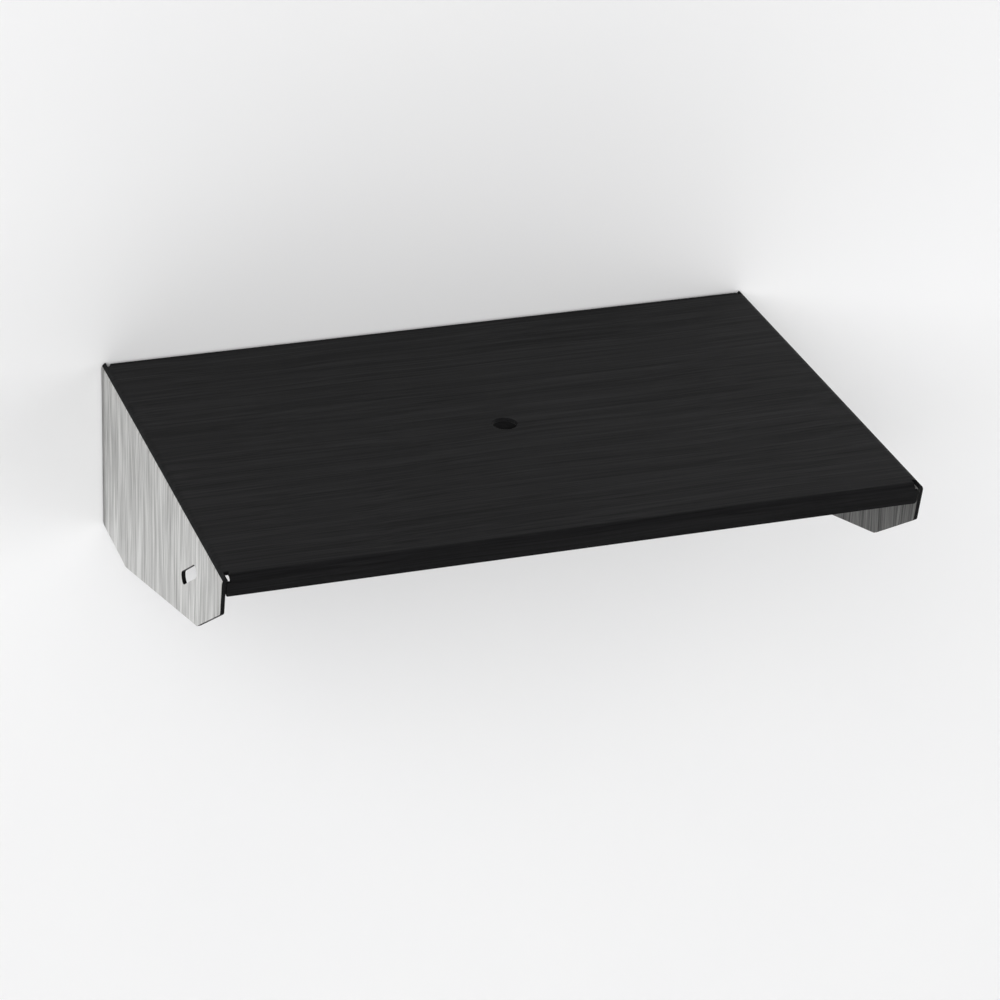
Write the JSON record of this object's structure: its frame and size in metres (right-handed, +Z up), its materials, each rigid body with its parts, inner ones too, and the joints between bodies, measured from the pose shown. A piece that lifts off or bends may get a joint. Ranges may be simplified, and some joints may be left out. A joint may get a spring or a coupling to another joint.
{
  "type": "game console wall mount",
  "caption": "Folded steel wall bracket: a flat shelf that carries a game console, with a short front lip, slotted end plates and a drilled wall flange.",
  "frame": {"origin": "centre of the four wall screw holes, on the wall face of the flange", "axes": "+X along the bracket, +Y into the wall, +Z up; the front of the bracket is towards -Y"},
  "size_m": [0.2, 0.13, 0.053],
  "materials": {
    "coated_steel": "satin black coating on the shelf, lip, flange and cut edges; brushed grey end plates"
  },
  "bodies": {
    "root": {"bracket": "coated_steel"}
  },
  "joints": []
}
